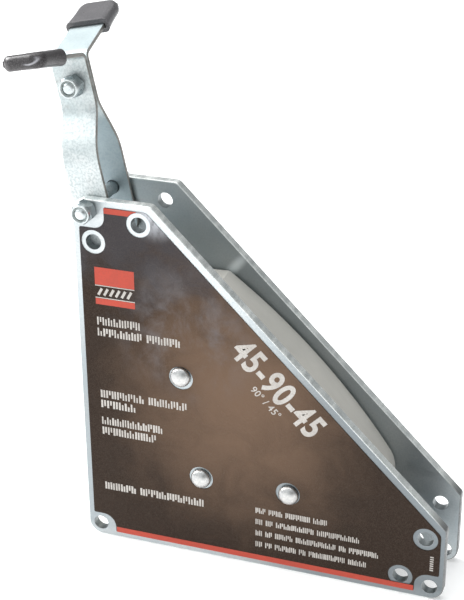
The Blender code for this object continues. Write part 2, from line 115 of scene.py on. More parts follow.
LABEL_LOWER_BEND = 3.0 * MM
LABEL_EDGE = 0.04 * MM

HOUSING_INSET = 3.0 * MM
HOUSING_TOP = 115.5 * MM
HOUSING_TOP_END = 54.0 * MM
HOUSING_RIGHT = 123.3 * MM
HOUSING_HEEL_CUT = 14.0 * MM
HOUSING_BOW_RADIUS = 274.0 * MM
HOUSING_BOW_CENTRE = mm(-104.7, -106.9)
HOUSING_BOW_STEPS = 30
HOUSING_SMALL_CORNER = 1.5 * MM
HOUSING_TOP_CORNER = 2.5 * MM
HOUSING_TOE_CORNER = 4.0 * MM
HOUSING_BOW_START_ROUND = 15.0 * MM
HOUSING_BOW_END_ROUND = 0.9 * MM
HOUSING_EDGE = 1.6 * MM
MAGNET_RADIUS = 16.4 * MM

RIVET_SHANK = 3.2 * MM
RIVET_HEAD_RADIUS = 4.1 * MM
RIVET_RIM_HEIGHT = 0.4 * MM
RIVET_HEAD_HEIGHT = 3.0 * MM
RIVET_TAIL_HEIGHT = 2.2 * MM
RIVET_UNDERCUT = 0.1 * MM

BOLT_RADIUS = 2.5 * MM
THREAD_PITCH = 0.8 * MM
THREAD_DEPTH = 0.32 * MM
THREAD_LENGTH = 13.0 * MM
THREAD_ROWS_PER_PITCH = 8
THREAD_RUN_IN_ROWS = 8.0
THREAD_RUN_OUT_ROWS = 6.0
THREAD_LAST_SHARE = 0.15
BOLT_POINT = 0.75 * MM
POINT_PROFILE = (mm(0.65, 2.30), mm(0.36, 2.00), mm(0.14, 1.76), mm(0.03, 1.50), mm(0.0, 1.0))
HEX_FLATS = 8.0 * MM
HEX_CORNER = HEX_FLATS / sqrt(3)
HEX_RIM = HEX_FLATS / 2 - 0.12 * MM
HEX_TOP_CHAMFER = 0.8 * MM
HEX_SEAT_CHAMFER = 0.5 * MM
BOLT_HEAD_HEIGHT = 3.5 * MM
HEAD_DISH_DEPTH = 0.2 * MM
HEAD_DISH_RADII = mm(1.9, 2.4)
NUT_HEX_HEIGHT = 4.3 * MM
NUT_HEIGHT = 5.8 * MM
COLLAR_RADIUS = 3.75 * MM
COLLAR_BORE = 2.95 * MM
NUT_BORE = BOLT_RADIUS + 0.12 * MM
NUT_LEDGE = 1.25 * MM
NYLON_INNER = BOLT_RADIUS + 0.03 * MM
NYLON_OUTER = COLLAR_BORE - 0.02 * MM
NYLON_HEIGHT = 0.9 * MM
NYLON_CROWN = 0.15 * MM
NYLON_SINK = 0.05 * MM
COLLAR_STEP = 0.05 * MM
COLLAR_FLARE = 0.02 * MM
FASTENER_SHARP = 28.0
GRIP_NUT_TURN = radians(-20.0)
PIVOT_NUT_TURN = radians(10.0)
BOLT_PROUD = 0.25 * MM

LEVER_LEAN = radians(11.8)
STRAP_WIDTH = 14.6 * MM
STRAP_THICK = 1.6 * MM
STRAP_CORNER = 0.3 * MM
STRAP_HEEL = 20.0 * MM
STRAP_SIDE_CLEARANCE = 0.5 * MM
HEEL_CORNER = 6.3 * MM
TIP_CORNER = 4.0 * MM
JOGGLE = {"front": mm(20.6, 35.3), "rear": mm(18.6, 36.4)}
JOGGLE_RADII = mm(20.0, 12.0)
GRIP_BOLT = mm(0.5, 44.7)
TAB_BEND_HEIGHT = 55.4 * MM
TAB_BEND_RADIUS = 2.6 * MM
TAB_RISE = {"front": radians(12.0), "rear": radians(16.0)}
TAB_REACH = 36.5 * MM
CAP_START = {"front": 18.4 * MM, "rear": 20.2 * MM}
CAP_WIDTH = 17.2 * MM
CAP_THICK = 5.7 * MM
CAP_END_WALL = 1.5 * MM
CAP_CORNER = 5.0 * MM
CAP_EDGE = 2.5 * MM
CAP_LIP = 0.3 * MM
CAP_FLARE = 0.5 * MM
CAP_FLARE_LENGTH = 9.0 * MM
CAP_SLOT_CORNER = 0.3 * MM

# How finely the curves are cut
ARC_STEPS = 12
CORNER_STEPS = 8
STRAP_CORNER_STEPS = 3
DOME_STEPS = 18
CHAMFER_STEPS = 7
ROLL_STEPS = 8
CAP_LIP_STEPS = 5
CAP_FLARE_STEPS = 8
CAP_TIP_STEPS = 18
FILLET_STEPS = 5
HOLE_SIDES = 56
ROUND_SIDES = 72
HEX_SIDES = 96
SMALLEST_RADIUS = 0.02 * MM
SIDE_NORMAL = 0.35


# ---- material helper
class Nodes:
    """Short calls that add nodes to a tree."""

    def __init__(self, tree, coordinates):
        self.tree = tree
        self.place = self.new("TexCoord").outputs[coordinates]

    def link(self, source, target):
        self.tree.links.new(source, target)

    def new(self, kind, **settings):
        node = self.tree.nodes.new("ShaderNode" + kind)
        for key, value in settings.items():
            setattr(node, key, value)
        return node

    def fill(self, node, **values):
        """Set a node's inputs. An underscore stands for a space in the input's name."""
        for key, value in values.items():
            node.inputs[key.replace("_", " ")].default_value = value

    def stretch(self, scale, turn=(0.0, 0.0, 0.0)):
        node = self.new("Mapping")
        self.link(self.place, node.inputs["Vector"])
        self.fill(node, Scale=scale, Rotation=turn)
        return node.outputs["Vector"]

    def noise(self, scale, detail=3.0, rough=0.55, vector=None, distortion=0.0):
        node = self.new("TexNoise")
        self.link(vector or self.place, node.inputs["Vector"])
        self.fill(node, Scale=scale, Detail=detail, Roughness=rough, Distortion=distortion)
        return node.outputs["Fac"]

    def ramp(self, value, low, high, a=0.0, b=1.0):
        """Map value from low..high to a..b, clamped, with a soft start and end."""
        node = self.new("MapRange", interpolation_type="SMOOTHSTEP")
        self.link(value, node.inputs["Value"])
        self.fill(node, From_Min=low, From_Max=high, To_Min=a, To_Max=b)
        return node.outputs["Result"]

    def colour(self, factor, first, second):
        """Mix two colours. Each is an rgb triple or a colour socket."""
        node = self.new("Mix", data_type="RGBA")
        self.link(factor, node.inputs[0])
        for socket, value in ((node.inputs[6], first), (node.inputs[7], second)):
            if isinstance(value, tuple):
                socket.default_value = (*value, 1.0)
            else:
                self.link(value, socket)
        return node.outputs[2]

    def maths(self, operation, first, second=0.0):
        node = self.new("Math", operation=operation)
        for socket, value in ((node.inputs[0], first), (node.inputs[1], second)):
            if isinstance(value, (int, float)):
                socket.default_value = value
            else:
                self.link(value, socket)
        return node.outputs[0]

    def plus(self, first, second):
        return self.maths("ADD", first, second)

    def minus(self, first, second):
        return self.maths("SUBTRACT", first, second)

    def times(self, first, second):
        return self.maths("MULTIPLY", first, second)

    def radius(self, first, second):
        """Length of the diagonal of two distances."""
        return self.maths("SQRT", self.plus(self.times(first, first), self.times(second, second)))

    def measure(self, operation, vector):
        """DOT_PRODUCT or DISTANCE between the place and a vector."""
        node = self.new("VectorMath", operation=operation)
        self.link(self.place, node.inputs[0])
        node.inputs[1].default_value = vector
        return node.outputs["Value"]

    def along(self, direction, low, high, a, b):
        """Ramp from a to b between two distances along a direction."""
        return self.ramp(self.measure("DOT_PRODUCT", direction), low, high, a, b)

    def away(self, point, low, high, a, b):
        """Ramp from a to b between two distances from a point."""
        return self.ramp(self.measure("DISTANCE", point), low, high, a, b)


class Shader(Nodes):
    """One Principled material. Places are in the piece's own frame."""

    def __init__(self, name, colour, roughness, metallic=0.0, specular=0.5):
        self.material = bpy.data.materials.new(name)
        self.material.use_nodes = True
        super().__init__(self.material.node_tree, "Object")
        self.main = self.tree.nodes["Principled BSDF"]
        self.fill(self.main, Base_Color=(*colour, 1.0), Roughness=roughness, Metallic=metallic,
                  Specular_IOR_Level=specular)

    def bump(self, height, strength, distance, after=None):
        node = self.new("Bump")
        self.fill(node, Strength=strength, Distance=distance)
        self.link(height, node.inputs["Height"])
        if after is not None:
            self.link(after, node.inputs["Normal"])
        return node.outputs["Normal"]

    def finish(self, colour=None, roughness=None, normal=None):
        for name, source in (("Base Color", colour), ("Roughness", roughness), ("Normal", normal)):
            if source is not None:
                self.link(source, self.main.inputs[name])
        return self.material


# ---- materials
ACROSS = (1.0, 0.0, 0.0)
BACK = (0.0, 1.0, 0.0)
UP = (0.0, 0.0, 1.0)
# Places of the painted highlights on the rear plate, the foil and the front cap, and of the foil's warm
# middle
FLARE_CENTRE = (55.8 * MM, INNER_Y, 117.8 * MM)
FLARE_TURN = radians(-49.0)
FLARE_SIZE = mm(11.5, 2.0, 3.2)
WARM_CENTRE = mm(67.0, 75.0)
SMEARED_HIGHLIGHT_CENTRE = mm(45.0, -15.8, 100.0)
GLARE_CENTRE = mm(33.5, -15.8, 147.5)
SHINE_X = 3.5 * MM
SHINE_WIDE = 4.5 * MM
SHINE_TALL = 1.9 * MM


def plate_painted_shade(s):
    """Share of painted shade, by height and length, on the front plate and on the rear one. On the front it
    grows towards the toe and the left end and thins out along the base and near the top, as a painted
    highlight; on the rear it thins out towards the toe and the top.
    """
    front = s.minus(s.along(ACROSS, 48.0 * MM, 103.0 * MM, 0.42, 0.88),
                    s.along(UP, 65.0 * MM, 125.0 * MM, 0.0, 0.42))
    front = s.plus(front, s.along(ACROSS, 0.0, 30.0 * MM, 0.20, 0.0))
    front = s.minus(front, s.along(UP, 2.0 * MM, 6.0 * MM, 0.15, 0.0))
    rear = s.along(ACROSS, 100.0 * MM, 122.0 * MM, 0.58, 0.40)
    rear = s.minus(rear, s.along(ACROSS, 137.0 * MM, 146.0 * MM, 0.0, 0.30))
    rear = s.minus(rear, s.along(UP, 126.0 * MM, 145.0 * MM, 0.0, 0.22))
    behind = s.along(BACK, -2.0 * MM, 2.0 * MM, 0.0, 1.0)
    return s.plus(s.times(front, s.minus(1.0, behind)), s.times(rear, behind))


def painted_lamp_highlight(s):
    """A painted highlight: a long soft spot on the rear plate's inner face, as a share of the bright tone."""
    node = s.new("Mapping", vector_type="TEXTURE")
    s.link(s.place, node.inputs["Vector"])
    s.fill(node, Location=FLARE_CENTRE, Rotation=(0.0, FLARE_TURN, 0.0), Scale=FLARE_SIZE)
    length = s.new("VectorMath", operation="LENGTH")
    s.link(node.outputs["Vector"], length.inputs[0])
    return s.ramp(length.outputs["Value"], 0.0, 1.0, 0.90, 0.0)


def zinc_face():
    """Zinc plated sheet: cloudy passivation and faint streaks, with painted shade across the plates and one
    painted highlight on the rear plate.
    """
    s = Shader("zinc_face", (0.66, 0.69, 0.71), 0.36, metallic=1.0)
    clouds = s.noise(38.0, 4.0, 0.6, distortion=0.6)
    speckle = s.noise(1300.0, 3.0, 0.6)
    streaks = s.noise(60.0, 3.0, vector=s.stretch((1.0, 1.0, 12.0)))
    tint = s.colour(s.ramp(clouds, 0.35, 0.7), (0.62, 0.685, 0.71), (0.73, 0.76, 0.76))
    tint = s.colour(s.ramp(speckle, 0.35, 0.75, 0.0, 0.5), tint, (0.50, 0.545, 0.57))
    # painted shade and painted highlight across the plates' faces
    tint = s.colour(plate_painted_shade(s), tint, (0.165, 0.185, 0.198))
    # painted highlight of a lamp on the rear plate's inner face
    tint = s.colour(painted_lamp_highlight(s), tint, (0.90, 0.96, 0.99))
    rough = s.plus(s.ramp(clouds, 0.3, 0.75, 0.36, 0.46), s.ramp(streaks, 0.35, 0.7, 0.0, 0.06))
    normal = s.bump(speckle, 0.30, 0.00006)
    normal = s.bump(streaks, 0.10, 0.0001, normal)
    return s.finish(tint, rough, normal)


def zinc_edge():
    """Plated sheared edge: fine marks across the sheet, with painted shade towards the toe."""
    s = Shader("zinc_edge", (0.62, 0.635, 0.62), 0.44, metallic=1.0)
    marks = s.noise(420.0, 3.0, vector=s.stretch((1.0, 0.07, 1.0)))
    grain = s.noise(1900.0, 2.0)
    band = s.noise(90.0, 1.0)
    tint = s.colour(s.ramp(marks, 0.35, 0.7), (0.84, 0.87, 0.86), (0.97, 0.99, 0.97))
    tint = s.colour(s.ramp(band, 0.35, 0.65, 0.0, 0.25), tint, (0.62, 0.64, 0.63))
    # painted shade on the edges at the toe
    tint = s.colour(s.along(ACROSS, 141.0 * MM, 150.0 * MM, 0.0, 1.0), tint, (0.22, 0.225, 0.225))
    rough = s.ramp(marks, 0.3, 0.7, 0.38, 0.54)
    tint = s.colour(s.ramp(grain, 0.45, 0.75, 0.0, 0.5), tint, (0.42, 0.44, 0.43))
    normal = s.bump(marks, 0.30, 0.00008)
    normal = s.bump(grain, 0.40, 0.00006, normal)
    return s.finish(tint, rough, normal)


def shaded_zinc_bore():
    """Plated walls of the punched holes, painted darker than the sheet round them as shade inside the holes.
    """
    s = Shader("shaded_zinc_bore", (0.34, 0.36, 0.37), 0.46, metallic=1.0)
    marks = s.noise(420.0, 3.0, vector=s.stretch((1.0, 0.10, 1.0)))
    tint = s.colour(s.ramp(marks, 0.35, 0.7), (0.27, 0.295, 0.305), (0.44, 0.465, 0.47))
    return s.finish(tint, s.ramp(marks, 0.3, 0.7, 0.40, 0.56), s.bump(marks, 0.30, 0.00008))


def strap_face():
    """Zinc plated strap: cloudy with rubbed spots, with painted light low on the straps, painted shade on the
    rear joggle behind the front strap and painted shade on the tabs.
    """
    s = Shader("strap_face", (0.52, 0.57, 0.58), 0.42, metallic=1.0)
    clouds = s.noise(75.0, 4.0, 0.65, distortion=0.8)
    speckle = s.noise(1100.0, 3.0, 0.65)
    rubbed = s.noise(160.0, 3.0, 0.6)
    tint = s.colour(s.ramp(clouds, 0.35, 0.68), (0.59, 0.65, 0.655), (0.72, 0.745, 0.74))
    # painted light: lighter low on the straps
    tint = s.colour(s.along(UP, 12.0 * MM, 26.0 * MM, 0.45, 0.0), tint, (0.86, 0.88, 0.88))
    tint = s.colour(s.ramp(speckle, 0.38, 0.70, 0.0, 0.7), tint, (0.42, 0.475, 0.485))
    tint = s.colour(s.ramp(rubbed, 0.62, 0.80, 0.0, 0.45), tint, (0.40, 0.39, 0.37))
    # painted shade on the rear strap, where the front strap shades it
    inner = s.times(s.along(BACK, 1.5 * MM, 4.5 * MM, 0.0, 0.80),
                    s.along(UP, 36.0 * MM, 50.0 * MM, 1.0, 0.0))
    tint = s.colour(inner, tint, (0.26, 0.33, 0.36))
    # painted shade on the tabs
    painted_tab_shade = s.along(UP, 54.5 * MM, 57.5 * MM, 0.0, 0.80)
    tint = s.colour(painted_tab_shade, tint, (0.375, 0.435, 0.45))
    rough = s.ramp(clouds, 0.3, 0.75, 0.54, 0.64)
    normal = s.bump(speckle, 0.45, 0.00008)
    return s.finish(tint, rough, s.bump(clouds, 0.10, 0.0004, normal))


def strap_edge():
    """Sheared strap edge, duller and warmer than the faces."""
    s = Shader("strap_edge", (0.30, 0.29, 0.27), 0.5, metallic=1.0)
    marks = s.noise(500.0, 3.0, vector=s.stretch((1.0, 0.1, 1.0)))
    tint = s.colour(s.ramp(marks, 0.35, 0.7), (0.22, 0.215, 0.20), (0.38, 0.37, 0.35))
    return s.finish(tint, s.ramp(marks, 0.3, 0.7, 0.45, 0.6), s.bump(marks, 0.3, 0.00008))


def fastener_zinc(name, dark, light, pits):
    """Satin plating of the nuts and bolts, with a fine grain of darker pits."""
    s = Shader(name, light, 0.30, metallic=1.0)
    clouds = s.noise(300.0, 3.0)
    grain = s.noise(2200.0, 3.0, 0.6)
    tint = s.colour(s.ramp(clouds, 0.35, 0.7), dark, light)
    tint = s.colour(s.ramp(grain, 0.4, 0.75, 0.0, 0.55), tint, pits)
    rough = s.ramp(clouds, 0.3, 0.75, 0.26, 0.40)
    return s.finish(tint, rough, s.bump(grain, 0.22, 0.00004))


def rivet_steel():
    """Satin rivet heads with small dents."""
    s = Shader("rivet_steel", (0.62, 0.61, 0.59), 0.34, metallic=1.0)
    dents = s.noise(430.0, 2.0)
    grain = s.noise(2400.0, 3.0, 0.6)
    tint = s.colour(s.ramp(dents, 0.35, 0.7), (0.50, 0.505, 0.505), (0.70, 0.69, 0.67))
    tint = s.colour(s.ramp(grain, 0.4, 0.75, 0.0, 0.4), tint, (0.40, 0.40, 0.39))
    rough = s.ramp(dents, 0.3, 0.7, 0.30, 0.40)
    normal = s.bump(dents, 0.20, 0.00015)
    return s.finish(tint, rough, s.bump(grain, 0.20, 0.00004, normal))


def foil():
    """Glossy printed foil: near-black brown, warmer in the middle, with a painted soft highlight broken up
    like smears and a painted glare.
    """
    s = Shader("printed_foil", (0.06, 0.05, 0.043), 0.25, specular=0.16)
    s.fill(s.main, Specular_Tint=(1.0, 0.86, 0.74, 1.0))
    height = s.measure("DOT_PRODUCT", UP)
    across = s.minus(s.measure("DOT_PRODUCT", ACROSS), WARM_CENTRE[0])
    up = s.times(s.minus(height, WARM_CENTRE[1]), 0.85)
    clouds = s.noise(55.0, 4.0, 0.6, distortion=0.5)
    away = s.plus(s.radius(across, up), s.ramp(clouds, 0.3, 0.7, -6.0 * MM, 6.0 * MM))
    tint = s.colour(s.ramp(away, 2.0 * MM, 66.0 * MM), (0.168, 0.104, 0.068), (0.023, 0.013, 0.009))
    cool = s.plus(height, s.ramp(clouds, 0.3, 0.7, -12.0 * MM, 12.0 * MM))
    cool = s.times(s.ramp(cool, 104.0 * MM, 136.0 * MM), 0.55)
    tint = s.colour(cool, tint, (0.060, 0.064, 0.078))
    fine = s.noise(3200.0, 2.0)
    tint = s.colour(s.ramp(fine, 0.35, 0.75, 0.0, 0.15), tint, (0.20, 0.16, 0.13))
    # painted soft highlight, grey and broken up like smears, on the middle of the label
    smeared_highlight = s.noise(95.0, 4.0, 0.6, vector=s.stretch((1.0, 1.0, 0.80), (0.0, 0.7, 0.0)), distortion=0.3)
    smeared_highlight = s.times(s.ramp(smeared_highlight, 0.40, 0.72), s.away(SMEARED_HIGHLIGHT_CENTRE, 10.0 * MM, 36.0 * MM, 0.50, 0.0))
    tint = s.colour(smeared_highlight, tint, (0.20, 0.19, 0.20))
    # painted glare: a highlight near the label's top
    glare = s.noise(420.0, 3.0, 0.65, vector=s.stretch((1.0, 1.0, 0.6), (0.0, 0.8, 0.0)))
    glare = s.times(s.ramp(glare, 0.25, 0.62, 0.35, 1.0),
                    s.away(GLARE_CENTRE, 1.0 * MM, 13.0 * MM, 0.95, 0.0))
    tint = s.colour(glare, tint, (0.62, 0.64, 0.68))
    rough = s.ramp(clouds, 0.3, 0.75, 0.16, 0.34)
    waves = s.noise(120.0, 3.0, 0.6)
    peel = s.noise(800.0, 2.0)
    normal = s.bump(waves, 0.35, 0.0006)
    normal = s.bump(peel, 0.22, 0.00010, normal)
    return s.finish(tint, rough, normal)


def ink(name, colour, worn):
    """Screen-printed ink with a little of the foil showing through where it is thin."""
    s = Shader(name, colour, 0.34, specular=0.3)
    thin = s.noise(1400.0, 3.0, 0.65)
    blotch = s.noise(160.0, 2.0)
    tint = s.colour(s.ramp(thin, 0.42, 0.75, 0.0, 0.55), colour, worn)
    tint = s.colour(s.ramp(blotch, 0.35, 0.7, 0.0, 0.30), tint, worn)
    return s.finish(tint, s.ramp(thin, 0.3, 0.7, 0.28, 0.42), s.bump(thin, 0.10, 0.00003))


def housing_plastic():
    """Moulded housing: light grey with a fine spark-eroded grain."""
    s = Shader("housing_plastic", (0.48, 0.47, 0.435), 0.46, specular=0.40)
    clouds = s.noise(45.0, 3.0)
    grain = s.noise(2300.0, 3.0, 0.6)
    flow = s.noise(70.0, 2.0, vector=s.stretch((1.0, 5.0, 1.0)))
    tint = s.colour(s.ramp(clouds, 0.3, 0.75), (0.44, 0.43, 0.395), (0.50, 0.485, 0.445))
    tint = s.colour(s.ramp(flow, 0.45, 0.75, 0.0, 0.20), tint, (0.38, 0.37, 0.34))
    rough = s.ramp(grain, 0.3, 0.7, 0.38, 0.52)
    normal = s.bump(grain, 0.25, 0.00006)
    return s.finish(tint, rough, s.bump(flow, 0.12, 0.0003, normal))


def tip_shine(s):
    """A crescent of light on the round end of the front cap, as a share."""
    end_height = TAB_BEND_HEIGHT + TAB_REACH * tan(TAB_RISE["front"])
    across = s.along(ACROSS, SHINE_X - 2 * SHINE_WIDE, SHINE_X + 2 * SHINE_WIDE, -2.0, 2.0)
    up = s.along(UP, end_height - 2 * SHINE_TALL, end_height + 2 * SHINE_TALL, -2.0, 2.0)
    ring = s.radius(across, up)
    shine = s.times(s.ramp(ring, 0.60, 1.00), s.ramp(ring, 1.00, 1.35, 1.0, 0.0))
    shine = s.times(shine, s.ramp(s.minus(across, up), -0.4, 1.2))
    shine = s.times(shine, s.ramp(s.noise(330.0, 2.0), 0.36, 0.56, 0.20, 1.0))
    return s.times(shine, s.along(BACK, 4.0 * MM - TAB_REACH, 8.0 * MM - TAB_REACH, 0.72, 0.0))


def vinyl():
    """Dipped black vinyl with a fine pebbled skin and slow waves, painted paler on the rear cap as light on
    it, with a painted highlight on the front cap's tip.
    """
    s = Shader("black_vinyl", (0.020, 0.018, 0.019), 0.30, specular=0.5)
    waves = s.noise(110.0, 1.0)
    skin = s.noise(2000.0, 3.0, 0.65)
    tint = s.colour(s.ramp(skin, 0.40, 0.78), (0.030, 0.027, 0.028), (0.118, 0.108, 0.111))
    # painted light: paler towards the rear cap
    tint = s.colour(s.along(BACK, 0.0, 20.0 * MM, 0.0, 0.22), tint, (0.30, 0.30, 0.315))
    # painted highlight: the crescent on the front cap's tip
    tint = s.colour(tip_shine(s), tint, (0.62, 0.62, 0.66))
    rough = s.ramp(waves, 0.3, 0.7, 0.26, 0.38)
    normal = s.bump(waves, 0.10, 0.0004)
    return s.finish(tint, rough, s.bump(skin, 0.25, 0.00005, normal))


def nylon():
    """Pale nylon of the lock nuts' rings."""
    s = Shader("nylon_insert", (0.34, 0.38, 0.37), 0.40)
    clouds = s.noise(900.0, 2.0)
    tint = s.colour(s.ramp(clouds, 0.3, 0.7), (0.26, 0.30, 0.29), (0.42, 0.46, 0.45))
    return s.finish(tint, s.ramp(clouds, 0.3, 0.7, 0.32, 0.48), s.bump(clouds, 0.15, 0.0001))


def ferrite():
    """Dark sintered ring magnets."""
    s = Shader("ferrite", (0.055, 0.056, 0.060), 0.6, metallic=0.2)
    grain = s.noise(1600.0, 3.0, 0.65)
    tint = s.colour(s.ramp(grain, 0.3, 0.75), (0.040, 0.041, 0.045), (0.085, 0.086, 0.090))
    return s.finish(tint, s.ramp(grain, 0.3, 0.7, 0.5, 0.7), s.bump(grain, 0.3, 0.0001))


ZINC_FACE = zinc_face()
ZINC_EDGE = zinc_edge()
SHADED_ZINC_BORE = shaded_zinc_bore()
STRAP_FACE = strap_face()
STRAP_EDGE = strap_edge()
BRIGHT_ZINC = fastener_zinc("bright_zinc", (0.56, 0.61, 0.62), (0.74, 0.77, 0.77), (0.36, 0.39, 0.40))
# a shaded copy of the same plating: painted shade on the nuts' hex sides
SHADED_HEX_ZINC = fastener_zinc("shaded_hex_zinc", (0.25, 0.29, 0.305), (0.40, 0.43, 0.435), (0.15, 0.17, 0.18))
RIVET_STEEL = rivet_steel()
FOIL = foil()
INK_WHITE = ink("ink_white", (0.62, 0.585, 0.545), (0.36, 0.32, 0.29))
INK_RED = ink("ink_red", (0.56, 0.072, 0.043), (0.40, 0.07, 0.045))
HOUSING = housing_plastic()
VINYL = vinyl()
NYLON = nylon()
FERRITE = ferrite()


# ---- mesh helpers
def loft(bm, loops, ring=False, caps=True):
    """Join loops of equal length with quads. A ring joins the last loop to the first."""
    rows = [[bm.verts.new(p) for p in loop] for loop in loops]
    pairs = list(zip(rows, rows[1:]))
    if ring:
        pairs.append((rows[-1], rows[0]))
    for low, high in pairs:
        for i in range(len(low)):
            j = (i + 1) % len(low)
            bm.faces.new((low[i], low[j], high[j], high[i]))
    if caps and not ring:
        bm.faces.new(rows[0])
        bm.faces.new(rows[-1])
    return rows


def add_object(name, data):
    obj = bpy.data.objects.new(name, data)
    bpy.context.scene.collection.objects.link(obj)
    return obj


def mesh_object(name, bm):
    mesh = bpy.data.meshes.new(name)
    bm.to_mesh(mesh)
    bm.free()
    return add_object(name, mesh)


def piece(name, bm, materials, body, replaced=(), sharp=40.0, place=None, turn=0.0):
    """Turn a closed bmesh into a shown piece that rides on a CAD body."""
    bmesh.ops.recalc_face_normals(bm, faces=bm.faces)
    obj = mesh_object(name, bm)
    obj.data.shade_smooth()
    obj.data.set_sharp_from_angle(angle=radians(sharp))
    for material in materials:
        obj.data.materials.append(material)
    obj.location = place or (LEFT, 0.0, 0.0)
    obj.rotation_euler = (0.0, turn, 0.0)
    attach(obj, body)
    if replaced:
        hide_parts(*replaced)
    weighted = obj.modifiers.new("flat_faces", "WEIGHTED_NORMAL")
    weighted.keep_sharp = True
    return obj


def rotated(vector, angle):
    c, s = cos(angle), sin(angle)
    return Vector((vector.x * c - vector.y * s, vector.x * s + vector.y * c))


def on_lever(x, z):
    """World place of a point given across and along the lever."""
    place = rotated(Vector((x, z)), LEVER_LEAN)
    return (pivot.x + place.x, 0.0, pivot.z + place.y)


def rounded_outline(corners, inset=0.0):
    """Anticlockwise outline of (x, z, radius) corners, moved inwards by inset."""
    points = []
    count = len(corners)
    for i, (x, z, radius) in enumerate(corners):
        here = Vector((x, z))
        d_in = (here - Vector(corners[i - 1][:2])).normalized()
        d_out = (Vector(corners[(i + 1) % count][:2]) - here).normalized()
        n_in = Vector((-d_in.y, d_in.x))
        n_out = Vector((-d_out.y, d_out.x))
        corner = here + (n_in + n_out) * (inset / (1.0 + n_in.dot(n_out)))
        if radius == 0.0:
            points.append(corner)
            continue
        side = 1.0 if d_in.cross(d_out) > 0.0 else -1.0
        r = max(radius - side * inset, SMALLEST_RADIUS)
        half_turn = d_in.angle(d_out) / 2
        centre = corner - d_in * (r * tan(half_turn)) + n_in * (side * r)
        start = -n_in * (side * r)
        for k in range(ARC_STEPS + 1):
            points.append(centre + rotated(start, side * 2 * half_turn * k / ARC_STEPS))
    return points


def rounded_rectangle(half_width, half_height, radius, steps):
    """Points (across, up) of a rectangle with round corners."""
    points = []
    for sx, sy, start in ((1, 1, 0.0), (-1, 1, 0.5), (-1, -1, 1.0), (1, -1, 1.5)):
        for k in range(steps + 1):
            angle = pi * (start + 0.5 * k / steps)
            points.append((sx * (half_width - radius) + radius * cos(angle),
                           sy * (half_height - radius) + radius * sin(angle)))
    return points


def circle(centre, radius, sides):
    """Points (x, z) round a centre."""
    turn = 2 * pi / sides
    return [Vector((centre[0] + radius * cos(i * turn), centre[1] + radius * sin(i * turn)))
            for i in range(sides)]


def fillet_stations(y_low, y_high, edge):
    """(inset, y) pairs from the low face to the high face round two edge fillets."""
    low = []
    high = []
    for k in range(FILLET_STEPS + 1):
        angle = pi / 2 * k / FILLET_STEPS
        inset = edge * (1.0 - sin(angle))
        rise = edge * (1.0 - cos(angle))
        low.append((inset, y_low + rise))
        high.append((inset, y_high - rise))
    return low + high[::-1]


def slab(corners, holes, y_low, y_high, edge, hole_edge):
    """Closed slab in the XZ plane with round holes. Its walls get slot 1, its bores slot 2."""
    bm = bmesh.new()
    stations = fillet_stations(y_low, y_high, edge)
    outer = [[(p.x, y, p.y) for p in rounded_outline(corners, inset)] for inset, y in stations]
    rows = [loft(bm, outer, caps=False)]
    walls = len(bm.faces)
    for centre, radius in holes:
        loops = [[(p.x, y, p.y) for p in circle(centre, radius + inset, HOLE_SIDES)]
                 for inset, y in fillet_stations(y_low, y_high, hole_edge)]
        rows.append(loft(bm, loops, caps=False))
    for i, face in enumerate(bm.faces):
        face.material_index = 1 if i < walls else 2
    for end, normal in ((0, (0, -1, 0)), (-1, (0, 1, 0))):
        edges = []
        for row in rows:
            ends = row[end]
            edges += [bm.edges.get((ends[i - 1], ends[i])) for i in range(len(ends))]
        filled = bmesh.ops.triangle_fill(bm, use_beauty=True, use_dissolve=False, edges=edges, normal=normal)
        for face in filled["geom"]:
            if isinstance(face, bmesh.types.BMFace):
                face.material_index = 0
    return bm


def ring_loop(y, radius, sides, phase=0.0):
    """Points round the Y axis. The radius is a number or a function of the angle."""
    loop = []
    for i in range(sides):
        angle = phase + 2 * pi * i / sides
        r = radius(angle) if callable(radius) else radius
        loop.append((r * cos(angle), y, r * sin(angle)))
    return loop


def turned(stations, sides=ROUND_SIDES, ring=False, phase=0.0):
    """A body of (y, radius) stations about the Y axis."""
    bm = bmesh.new()
    loft(bm, [ring_loop(y, radius, sides, phase) for y, radius in stations], ring=ring)
    return bm


# ---- plates, housing and label
def clearance_holes():
    """Centres of the six open holes: two at corners, then two mirrored pairs."""
    near_x, near_z = NEAR_HOLE
    far_x, far_z = FAR_HOLE
    toe = PLATE_SIDE - CORNER_HOLE
    return [(CORNER_HOLE, CORNER_HOLE), (toe, CORNER_HOLE),
            (near_x, near_z), (near_z, near_x), (far_x, far_z), (far_z, far_x)]


def make_plates():
    corners = [(0.0, 0.0, HEEL_RADIUS), (PLATE_SIDE, 0.0, TOE_RADIUS),
               (PLATE_SIDE, SHORT_EDGE, LOWER_BEND_RADIUS), (SHORT_EDGE, PLATE_SIDE, UPPER_BEND_RADIUS),
               (0.0, PLATE_SIDE, TOE_RADIUS)]
    holes = [(centre, HOLE_RADIUS) for centre in clearance_holes() + [PIVOT]]
    holes += [(centre, RIVET_SHANK + GAP) for centre in RIVETS.values()]
    for side, low in (("front", plate_low.y), ("rear", rear_low.y)):
        bm = slab(corners, holes, low, low + PLATE_THICK, PLATE_EDGE_ROUND, HOLE_EDGE_ROUND)
        piece(side + "_plate_skin", bm, [ZINC_FACE, ZINC_EDGE, SHADED_ZINC_BORE], "root",
              [side + "_plate"])


